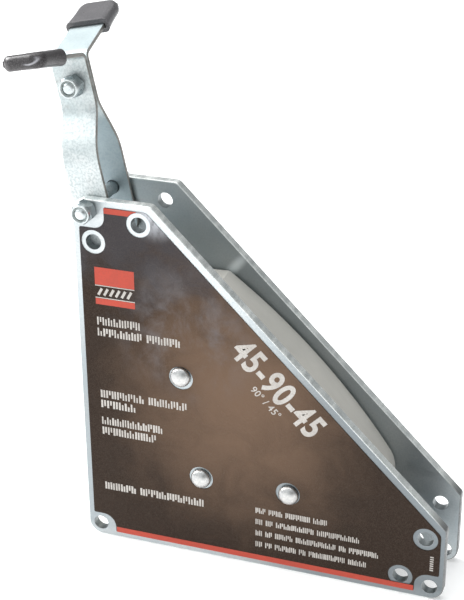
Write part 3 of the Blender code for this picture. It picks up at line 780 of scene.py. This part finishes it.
def make_label():
    slope = PLATE_SIDE + SHORT_EDGE - LABEL_SLOPE_MARGIN * sqrt(2)
    heel_x, heel_z = HEEL_NOTCH
    toe_x, toe_z = TOE_NOTCH
    top_x, top_z = TOP_NOTCH
    corners = [(heel_x, LABEL_BASE, LABEL_CORNER), (toe_x, LABEL_BASE, LABEL_CORNER),
               (toe_x, toe_z, NOTCH_RADIUS), (LABEL_RIGHT, toe_z, LABEL_CORNER),
               (LABEL_RIGHT, slope - LABEL_RIGHT, LABEL_LOWER_BEND),
               (slope - LABEL_TOP, LABEL_TOP, LABEL_UPPER_BEND),
               (top_x, LABEL_TOP, LABEL_CORNER), (top_x, top_z, TOP_NOTCH_RADIUS),
               (LABEL_LEFT, top_z, LABEL_CORNER), (LABEL_LEFT, heel_z, LABEL_CORNER),
               (heel_x, heel_z, NOTCH_RADIUS)]
    holes = [(centre, LABEL_RING_RADIUS) for centre in clearance_holes()[2:]]
    holes += [(centre, LABEL_RIVET_RADIUS) for centre in LABEL_RIVET_CENTRES]
    bm = slab(corners, holes, LABEL_FACE, LABEL_BACK, LABEL_EDGE, LABEL_EDGE)
    piece("front_label_foil", bm, [FOIL] * 3, "root", ["front_label"])


def make_housing():
    low = HOUSING_INSET
    cx, cz = HOUSING_BOW_CENTRE
    start = acos((HOUSING_RIGHT - cx) / HOUSING_BOW_RADIUS)
    end = acos((HOUSING_TOP_END - cx) / HOUSING_BOW_RADIUS)
    rounds = {0: HOUSING_BOW_START_ROUND, HOUSING_BOW_STEPS: HOUSING_BOW_END_ROUND}
    corners = [(HOUSING_HEEL_CUT, low, HOUSING_SMALL_CORNER), (HOUSING_RIGHT, low, HOUSING_TOE_CORNER)]
    for k in range(HOUSING_BOW_STEPS + 1):
        angle = start + (end - start) * k / HOUSING_BOW_STEPS
        corners.append((cx + HOUSING_BOW_RADIUS * cos(angle),
                        cz + HOUSING_BOW_RADIUS * sin(angle), rounds.get(k, 0.0)))
    corners += [(low, HOUSING_TOP, HOUSING_TOP_CORNER), (low, HOUSING_HEEL_CUT, HOUSING_SMALL_CORNER)]
    holes = [(centre, MAGNET_RADIUS + GAP) for centre in RIVETS.values()]
    face = INNER_Y - GAP
    bm = slab(corners, holes, -face, face, HOUSING_EDGE, HOUSING_EDGE)
    piece("magnet_housing_moulding", bm, [HOUSING] * 3, "root", ["magnet_housing"])


# ---- prints on the label
INK_THICK = 0.03 * MM
INK_LIFT = 0.005 * MM
INK_FRONT = LABEL_FACE - INK_THICK
INK_BACK = LABEL_FACE - INK_LIFT
SLOPE = radians(-45.2)
FIGURE_SHARE = 0.73
WELD = 0.001 * MM
RING_CLEARANCE = 0.2 * MM

# Places on the label in millimetres: x from, x to, z from, z to.
BASE_STRIPE = (12.5, 138.2, 2.45, 4.9)
TOP_STRIPE = (13.1, 26.2, 145.1, 147.35)
RED_BLOCK = ((8.1, 24.5, 115.2, 122.6), (8.1, 24.5, 106.9, 109.5))
BLOCK_RULES = ((8.1, 24.5, 114.75, 115.1), (8.1, 24.5, 109.6, 109.95))
SLANTS = 6
SLANT_START = (9.3, 110.9)
SLANT_RUN = (1.6, 2.9)
SLANT_PITCH = 2.45
SLANT_WIDTH = 1.05
EDGE_MARK = (144.2, 145.6, 13.2, 13.75)
EDGE_MARK_ROWS = 7

# Two columns of stand-in text: x and height, then z, x at the end and the words of each line.
TEXT_COLUMNS = ((8.1, 3.4, ((98.0, 26.6, (8,)), (93.2, 43.0, (8, 6)), (65.7, 45.2, (8, 7)),
                            (61.1, 23.4, (6,)), (53.4, 34.6, (12,)), (48.8, 31.8, (10,)),
                            (22.8, 51.6, (6, 12)))),
                (73.2, 2.5, ((24.7, 103.0, (3, 4, 7, 4)), (19.4, 116.2, (2, 2, 10, 11)),
                             (14.1, 124.0, (2, 2, 5, 11, 2, 8)), (8.8, 119.2, (2, 2, 6, 2, 10, 5)))))
WORD_GAP = 0.7
FIRST_STROKE = 0.06
SECOND_STROKE = 0.56
STROKE_WIDTHS = (0.26, 0.36)
SHORTEST_STROKE = 0.55
SECOND_WIDTH = 0.9


def stroke(bm, start, end, width):
    """A straight stroke of ink between two (x, z) points."""
    start, end = Vector(start), Vector(end)
    along = (end - start).normalized()
    side = Vector((-along.y, along.x)) * (width / 2)
    loops = []
    for a, b in ((start + side, start - side), (end + side, end - side)):
        loops.append([(a.x, INK_FRONT, a.y), (b.x, INK_FRONT, b.y),
                      (b.x, INK_BACK, b.y), (a.x, INK_BACK, a.y)])
    loft(bm, loops)


def bar(bm, x_low, x_high, z_low, z_high):
    middle = (z_low + z_high) / 2
    stroke(bm, (x_low, middle), (x_high, middle), z_high - z_low)


def stripe_to_ring(bm, x_low, x_high, z_low, z_high):
    """A stripe whose lower edge follows the label's opening at the far hole."""
    steps = 40
    clear = LABEL_RING_RADIUS + RING_CLEARANCE
    loops = []
    for k in range(steps + 1):
        x = x_low + (x_high - x_low) * k / steps
        rise = sqrt(max(0.0, clear ** 2 - (x - FAR_HOLE[0]) ** 2))
        low = max(z_low, FAR_HOLE[1] + rise) if rise else z_low
        loops.append([(x, INK_FRONT, z_high), (x, INK_FRONT, low), (x, INK_BACK, low), (x, INK_BACK, z_high)])
    loft(bm, loops)


def word_bars(bm, x, z, x_end, height, words, rng):
    """A printed line as plain upright strokes grouped into words, with no letter shapes."""
    cells = sum(words) + WORD_GAP * (len(words) - 1)
    pitch = (x_end - x) / cells
    for letters in words:
        for _ in range(letters):
            wide = pitch * rng.uniform(*STROKE_WIDTHS)
            left = x + FIRST_STROKE * pitch
            bar(bm, left, left + wide, z, z + height)
            short = height * rng.uniform(SHORTEST_STROKE, 1.0)
            low = z if rng.random() < 0.5 else z + height - short
            left = x + SECOND_STROKE * pitch
            bar(bm, left, left + wide * SECOND_WIDTH, low, low + short)
            x += pitch
        x += WORD_GAP * pitch


def figures(name, text, start, height, squeeze, weight, spacing):
    """Angle figures along the slope, each one closed. start is their lower left corner."""
    curve = bpy.data.curves.new(name, "FONT")
    curve.body = text
    curve.size = height / FIGURE_SHARE
    curve.space_character = spacing
    curve.offset = weight
    curve.extrude = INK_THICK / 2
    curve.resolution_u = 6
    lettering = add_object(name, curve)
    bpy.context.view_layer.update()
    graph = bpy.context.evaluated_depsgraph_get()
    mesh = bpy.data.meshes.new_from_object(lettering.evaluated_get(graph))
    bpy.data.objects.remove(lettering)
    bm = bmesh.new()
    bm.from_mesh(mesh)
    bpy.data.meshes.remove(mesh)
    bmesh.ops.remove_doubles(bm, verts=bm.verts, dist=WELD)
    for vertex in bm.verts:
        flat = Vector(start) + rotated(Vector((vertex.co.x * squeeze, vertex.co.y)), SLOPE)
        vertex.co = (flat.x, LABEL_FACE - INK_THICK / 2 - vertex.co.z, flat.y)
    return bm


def make_prints():
    red = bmesh.new()
    bar(red, *mm(*BASE_STRIPE))
    stripe_to_ring(red, *mm(*TOP_STRIPE))
    for sizes in RED_BLOCK:
        bar(red, *mm(*sizes))
    piece("label_red_print", red, [INK_RED], "root")

    rng = random.Random(7)
    white = bmesh.new()
    for sizes in BLOCK_RULES:
        bar(white, *mm(*sizes))
    for k in range(SLANTS):
        x, z = SLANT_START[0] + SLANT_PITCH * k, SLANT_START[1]
        stroke(white, mm(x, z), mm(x + SLANT_RUN[0], z + SLANT_RUN[1]), SLANT_WIDTH * MM)
    for x, height, lines in TEXT_COLUMNS:
        for z, x_end, words in lines:
            word_bars(white, *mm(x, z, x_end, height), words, rng)
    x_low, x_high, z_low, z_high = EDGE_MARK
    for k in range(EDGE_MARK_ROWS):
        bar(white, *mm(x_low, x_high, z_low + k, z_high + k))
    piece("label_white_print", white, [INK_WHITE], "root")

    large = figures("large_figures", "45-90-45", mm(62.7, 94.9), height=11.1 * MM,
                    squeeze=0.755, weight=0.40 * MM, spacing=1.10)
    piece("label_large_figures", large, [INK_WHITE], "root")
    small = figures("small_figures", "90\u00b0 / 45\u00b0", mm(71.0, 80.0), height=3.1 * MM,
                    squeeze=0.92, weight=0.04 * MM, spacing=1.08)
    piece("label_small_figures", small, [INK_WHITE], "root")


# ---- rivets, bolts and nuts
def dome(base, height, direction):
    """Domed rivet head as (y, radius), from its crown to its underside."""
    stations = []
    for k in range(1, DOME_STEPS + 1):
        angle = pi / 2 * k / DOME_STEPS
        rise = RIVET_RIM_HEIGHT + (height - RIVET_RIM_HEIGHT) * cos(angle)
        stations.append((base + direction * rise, RIVET_HEAD_RADIUS * sin(angle)))
    stations.append((base + direction * RIVET_UNDERCUT, RIVET_HEAD_RADIUS))
    stations.append((base, RIVET_HEAD_RADIUS - RIVET_UNDERCUT))
    return stations


def make_rivets():
    seat = HALF_DEPTH + GAP
    for place, (x, z) in RIVETS.items():
        stations = dome(-seat, RIVET_HEAD_HEIGHT, -1.0)
        stations += [(-seat, RIVET_SHANK), (seat, RIVET_SHANK)]
        stations += reversed(dome(seat, RIVET_TAIL_HEIGHT, 1.0))
        name = f"rivet_{place}"
        piece(name + "_head", turned(stations), [RIVET_STEEL], "root", [name],
              place=(LEFT + x, 0.0, z))


def hexagon(limit, turn):
    """Radius of a hexagon with flats on HEX_FLATS, cut off at a limiting circle."""
    def radius(angle):
        off = (angle - turn + pi / 6) % (pi / 3) - pi / 6
        return min(HEX_FLATS / 2 / cos(off), limit)
    return radius


def hex_chamfer(y_rim, y_full, turn):
    """Stations of a corner chamfer, from its rim to the full hexagon."""
    stations = []
    for k in range(CHAMFER_STEPS + 1):
        share = k / CHAMFER_STEPS
        limit = HEX_RIM + (HEX_CORNER - HEX_RIM) * share
        stations.append((y_rim + (y_full - y_rim) * share, hexagon(limit, turn)))
    return stations


def make_lock_nut(name, seat, turn, body, place, tilt):
    """Lock nut with a rolled collar over its nylon ring. turn is in the piece's own frame."""
    shoulder = seat - NUT_HEX_HEIGHT
    front = seat - NUT_HEIGHT
    ledge = front + NUT_LEDGE
    half_turn = [pi * k / ROLL_STEPS for k in range(ROLL_STEPS + 1)]
    stations = [(seat, NUT_BORE)]
    stations += hex_chamfer(seat, seat - HEX_SEAT_CHAMFER, turn)
    stations += reversed(hex_chamfer(shoulder, shoulder + HEX_TOP_CHAMFER, turn))
    stations.append((shoulder - COLLAR_STEP, COLLAR_RADIUS + COLLAR_FLARE))
    roll = (COLLAR_RADIUS - COLLAR_BORE) / 2
    stations += [(front + roll * (1.0 - sin(a)), COLLAR_BORE + roll * (1.0 + cos(a)))
                 for a in half_turn]
    stations += [(ledge, COLLAR_BORE), (ledge, NUT_BORE)]
    bm = turned(stations, HEX_SIDES, ring=True, phase=turn)
    # the hex gets the shaded copy of the plating as painted shade; the collar keeps the bright one
    for face in bm.faces:
        face.material_index = 1 if face.calc_center_median().y > shoulder - COLLAR_STEP else 0
    piece(name + "_body", bm, [BRIGHT_ZINC, SHADED_HEX_ZINC], body, [name],
          sharp=FASTENER_SHARP, place=place, turn=tilt)
    middle, half = (NYLON_INNER + NYLON_OUTER) / 2, (NYLON_OUTER - NYLON_INNER) / 2
    top = ledge - NYLON_HEIGHT
    ring = [(ledge - NYLON_SINK, NYLON_INNER), (ledge - NYLON_SINK, NYLON_OUTER)]
    ring += [(top - NYLON_CROWN * sin(a), middle + half * cos(a)) for a in half_turn]
    piece(name + "_ring", turned(ring, ring=True), [NYLON], body,
          [name + "_insert"], place=place, turn=tilt)


def thread_loops(y_start, y_end, sides):
    """Rings whose radius follows a helical thread from y_start to y_end."""
    rows = int(abs(y_start - y_end) / THREAD_PITCH * THREAD_ROWS_PER_PITCH)
    loops = []
    for k in range(rows + 1):
        y = y_start + (y_end - y_start) * k / rows
        fade = min(1.0, k / THREAD_RUN_IN_ROWS, (rows - k) / THREAD_RUN_OUT_ROWS + THREAD_LAST_SHARE)
        loop = []
        for i in range(sides):
            angle = 2 * pi * i / sides
            phase = (y / THREAD_PITCH + i / sides) % 1.0
            r = BOLT_RADIUS - THREAD_DEPTH * (1.0 - abs(2.0 * phase - 1.0)) * fade
            loop.append((r * cos(angle), y, r * sin(angle)))
        loops.append(loop)
    return loops


def make_bolt(name, head_face, end, body, place, tilt):
    """Hex bolt along Y with a threaded front end and a chamfered head behind."""
    top = head_face + BOLT_HEAD_HEIGHT
    inner, outer = HEAD_DISH_RADII
    stations = [(top - HEAD_DISH_DEPTH, inner), (top, outer)]
    stations += hex_chamfer(top, top - HEX_TOP_CHAMFER, 0.0)
    stations += [(head_face, hexagon(HEX_CORNER, 0.0)), (head_face, BOLT_RADIUS)]
    loops = [ring_loop(y, radius, HEX_SIDES) for y, radius in stations]
    thread_start = min(end + THREAD_LENGTH, head_face - THREAD_PITCH)
    loops += thread_loops(thread_start, end + BOLT_POINT, HEX_SIDES)
    loops += [ring_loop(end + rise, radius, HEX_SIDES) for rise, radius in POINT_PROFILE]
    bm = bmesh.new()
    loft(bm, loops)
    piece(name + "_body", bm, [BRIGHT_ZINC], body, [name],
          sharp=FASTENER_SHARP, place=place, turn=tilt)


# ---- release lever
def filleted_path(points, radii):
    """Points of a path with its inner corners rounded, as (position, tangent)."""
    path = [(points[0], (points[1] - points[0]).normalized())]
    for i, radius in enumerate(radii, start=1):
        d_in = (points[i] - points[i - 1]).normalized()
        d_out = (points[i + 1] - points[i]).normalized()
        side = 1.0 if d_in.cross(d_out) > 0.0 else -1.0
        turn = d_in.angle(d_out)
        normal = Vector((-d_in.y, d_in.x)) * side
        centre = points[i] - d_in * (radius * tan(turn / 2)) + normal * radius
        for k in range(ARC_STEPS + 1):
            angle = side * turn * k / ARC_STEPS
            path.append((centre + rotated(-normal * radius, angle), rotated(d_in, angle)))
    path.append((points[-1], (points[-1] - points[-2]).normalized()))
    return path


def rounded_end(position, tangent, radius, inwards):
    """Stations from a strip's end to its full width, as (position, tangent, width lost)."""
    stations = []
    for k in range(ARC_STEPS + 1):
        angle = pi / 2 * k / ARC_STEPS
        back = radius * (1.0 - cos(angle))
        lost = radius * (1.0 - sin(angle))
        stations.append((position + tangent * (inwards * back), tangent, lost))
    return stations


def strap_path(name, side):
    """Middle of a strap seen from its edge, as (y, z). side is -1 in front and 1 behind."""
    joggle_low, joggle_high = JOGGLE[name]
    low_y = side * (INNER_Y - STRAP_SIDE_CLEARANCE - STRAP_THICK / 2)
    high_y = side * (STRAP_THICK + GAP) / 2
    tip_y = side * (TAB_REACH - CAP_END_WALL - GAP)
    tip_z = TAB_BEND_HEIGHT + abs(tip_y - high_y) * tan(TAB_RISE[name])
    points = [Vector((low_y, -STRAP_HEEL)), Vector((low_y, joggle_low)), Vector((high_y, joggle_high)),
              Vector((high_y, TAB_BEND_HEIGHT)), Vector((tip_y, tip_z))]
    return filleted_path(points, (*JOGGLE_RADII, TAB_BEND_RADIUS))


def strap_section(position, tangent, half_width):
    """Rectangle with small round corners across the strap."""
    normal = Vector((-tangent.y, tangent.x))
    outline = rounded_rectangle(half_width, STRAP_THICK / 2, STRAP_CORNER, STRAP_CORNER_STEPS)
    return [(x, position.x + normal.x * n, position.y + normal.y * n) for x, n in outline]


def drill(obj, centres, radius):
    """Cut round holes along Y at (x, z) centres in the object's own frame, and keep the result."""
    bm = bmesh.new()
    for centre in centres:
        ring = circle(centre, radius, HOLE_SIDES)
        loft(bm, [[(p.x, y, p.y) for p in ring] for y in (-HALF_DEPTH, HALF_DEPTH)])
    bmesh.ops.recalc_face_normals(bm, faces=bm.faces)
    cutter = mesh_object("drill", bm)
    cutter.matrix_world = obj.matrix_world
    cut = obj.modifiers.new("drill", "BOOLEAN")
    cut.operation = "DIFFERENCE"
    cut.solver = "EXACT"
    cut.object = cutter
    obj.modifiers.move(len(obj.modifiers) - 1, 0)
    bpy.context.view_layer.update()
    evaluated = obj.evaluated_get(bpy.context.evaluated_depsgraph_get())
    drilled = bpy.data.meshes.new_from_object(evaluated)
    obj.modifiers.clear()
    obj.data = drilled
    drilled.name = obj.name
    bpy.data.objects.remove(cutter)


def make_strap(name, side):
    """Sheet strap with round ends and two bolt holes. Its sides get slot 1."""
    path = strap_path(name, side)
    stations = rounded_end(*path[0], HEEL_CORNER, 1.0)
    stations += [(position, tangent, 0.0) for position, tangent in path[1:-1]]
    stations += reversed(rounded_end(*path[-1], TIP_CORNER, -1.0))
    half = STRAP_WIDTH / 2
    bm = bmesh.new()
    loft(bm, [strap_section(p, t, half - lost) for p, t, lost in stations])
    bm.normal_update()
    for face in bm.faces:
        face.material_index = 1 if abs(face.normal.x) > SIDE_NORMAL else 0
    obj = piece(name + "_strap_sheet", bm, [STRAP_FACE, STRAP_EDGE], "lever",
                [name + "_strap"], place=on_lever(0.0, 0.0), turn=-LEVER_LEAN)
    drill(obj, [(0.0, 0.0), GRIP_BOLT], BOLT_RADIUS + GAP)


def cap_outside(start, tip):
    """A cap from its flared mouth to its tip: (distance, half width, half thickness, radius)."""
    half_width, half_thick = CAP_WIDTH / 2, CAP_THICK / 2
    sizes = []
    for k in range(CAP_LIP_STEPS + 1):
        angle = pi / 2 * k / CAP_LIP_STEPS
        inset = CAP_LIP * (1.0 - sin(angle))
        sizes.append((start + CAP_LIP * (1.0 - cos(angle)), half_width + CAP_FLARE - inset,
                      half_thick + CAP_FLARE / 2 - inset, CAP_EDGE - inset))
    for k in range(1, CAP_FLARE_STEPS + 1):
        share = k / CAP_FLARE_STEPS
        flare = CAP_FLARE * (1.0 - share) ** 2
        distance = start + CAP_LIP + (CAP_FLARE_LENGTH - CAP_LIP) * share
        sizes.append((distance, half_width + flare, half_thick + flare / 2, CAP_EDGE))
    for k in range(CAP_TIP_STEPS + 1):
        angle = pi / 2 * k / CAP_TIP_STEPS
        distance = tip - CAP_CORNER * (1.0 - sin(angle))
        width = half_width - CAP_CORNER * (1.0 - cos(angle))
        dip = max(0.0, 1.0 - (tip - distance) / CAP_EDGE)
        thick = half_thick - CAP_EDGE * (1.0 - sqrt(max(0.0, 1.0 - dip * dip)))
        sizes.append((distance, width, thick, min(CAP_EDGE, thick)))
    return sizes


def make_cap(name, side):
    """Dipped vinyl cap: a closed rounded tip and a slot that the strap end goes into."""
    rise = TAB_RISE[name]
    along = Vector((side * cos(rise), sin(rise)))
    up = Vector((-side * sin(rise), cos(rise)))
    root = Vector((side * (STRAP_THICK + GAP) / 2, TAB_BEND_HEIGHT))
    start = (CAP_START[name] - abs(root.x)) / cos(rise)
    tip = (TAB_REACH - abs(root.x)) / cos(rise)
    slot_end = tip - CAP_END_WALL / cos(rise)
    slot = (STRAP_WIDTH / 2 + GAP, STRAP_THICK / 2 + GAP, CAP_SLOT_CORNER)
    sizes = [(slot_end, *slot), (start, *slot)] + cap_outside(start, tip)
    loops = []
    for distance, half_width, half_thick, radius in sizes:
        radius = min(radius, half_width, half_thick)
        origin = root + along * distance
        loops.append([(w, (origin + up * h).x, (origin + up * h).y)
                      for w, h in rounded_rectangle(half_width, half_thick, radius, CORNER_STEPS)])
    bm = bmesh.new()
    loft(bm, loops)
    piece(name + "_grip_cap_vinyl", bm, [VINYL], "lever", [name + "_grip_cap"],
          sharp=60.0, place=on_lever(0.0, 0.0), turn=-LEVER_LEAN)


def make_lever():
    for name, side in (("front", -1.0), ("rear", 1.0)):
        make_strap(name, side)
        make_cap(name, side)
    face = STRAP_THICK + GAP / 2 + GAP
    place = on_lever(*GRIP_BOLT)
    make_bolt("grip_bolt", face, -face - NUT_HEIGHT - BOLT_PROUD, "lever", place, -LEVER_LEAN)
    make_lock_nut("grip_nut", -face, GRIP_NUT_TURN, "lever", place, -LEVER_LEAN)


def make_pivot():
    face = HALF_DEPTH + GAP
    place = (pivot.x, 0.0, pivot.z)
    make_bolt("pivot_bolt", face, -face - NUT_HEIGHT - BOLT_PROUD, "root", place, 0.0)
    make_lock_nut("pivot_nut", -face, PIVOT_NUT_TURN, "root", place, 0.0)


def dress_magnets():
    """The ring magnets keep their CAD shape inside the housing and get the ferrite finish."""
    for name, node in frame["nodes"].items():
        if name.startswith("magnet_") and name != "magnet_housing":
            node.data.materials.clear()
            node.data.materials.append(FERRITE)


# ---- stage, light and camera
FLOOR_HALF = 6.0
FLOOR_CELLS = 8
FLOOR_DROP = 0.2 * MM
TENT_MIDDLE = (-0.36, -0.86, 0.36)
TENT_OPENING = (0.47, -0.79, 0.39)
SOFT_BOXES = (("overhead", (-0.1, 0.25, 1.35), (0.0, 0.0, 0.09), 1.1, 10.0),
              ("left", (-1.35, 0.10, 0.95), (-0.32, -0.42, 0.0), 0.9, 34.0))
CAMERA_LENS = 90.37
CAMERA_SENSOR = 36.0
CAMERA_OFFSET = (0.2344, -0.4791, 0.3574)
CAMERA_DEGREES = (64.675, 0.385, 19.403)


def make_floor():
    bm = bmesh.new()
    bmesh.ops.create_grid(bm, x_segments=FLOOR_CELLS, y_segments=FLOOR_CELLS, size=FLOOR_HALF)
    obj = mesh_object("floor", bm)
    s = Shader("pale_floor", (0.86, 0.86, 0.86), 0.6, specular=0.2)
    clouds = s.noise(1.2, 2.0)
    s.fill(s.main, Emission_Color=(1.0, 1.0, 1.0, 1.0), Emission_Strength=0.30)
    obj.data.materials.append(s.finish(s.colour(clouds, (0.85, 0.85, 0.85), (0.87, 0.87, 0.87))))
    obj.location.z = cad_low.z - FLOOR_DROP


def soft_box(name, place, target, size, power):
    light = bpy.data.lights.new(name, "AREA")
    light.shape = "RECTANGLE"
    light.size = size
    light.size_y = size
    light.energy = power
    obj = add_object(name, light)
    obj.location = place
    aim = Vector(target) - Vector(place)
    obj.rotation_euler = aim.to_track_quat("-Z", "Y").to_euler()


def make_light():
    """A soft tent, bright round the front left with one dark opening, and two soft boxes."""
    world = bpy.data.worlds.new("studio")
    bpy.context.scene.world = world
    world.use_nodes = True
    sky = Nodes(world.node_tree, "Generated")
    tent = sky.along(TENT_MIDDLE, -0.30, 0.85, 0.32, 1.05)
    opening = sky.along(TENT_OPENING, 0.90, 0.975, 1.0, 0.25)
    background = world.node_tree.nodes["Background"]
    sky.link(sky.times(tent, opening), background.inputs["Strength"])
    sky.fill(background, Color=(0.95, 0.985, 1.0, 1.0))
    for box in SOFT_BOXES:
        soft_box(*box)


def make_camera():
    data = bpy.data.cameras.new("camera")
    data.lens = CAMERA_LENS
    data.sensor_width = CAMERA_SENSOR
    data.clip_start = 0.01
    data.clip_end = 50.0
    obj = add_object("camera", data)
    obj.location = Vector((LEFT, FRONT, cad_low.z)) + Vector(CAMERA_OFFSET)
    obj.rotation_euler = Euler([radians(angle) for angle in CAMERA_DEGREES])
    bpy.context.scene.camera = obj


make_plates()
make_label()
make_prints()
make_housing()
make_rivets()
make_pivot()
make_lever()
dress_magnets()
make_floor()
make_light()
make_camera()
bpy.context.scene.view_settings.view_transform = "Standard"

bpy.context.view_layer.update()
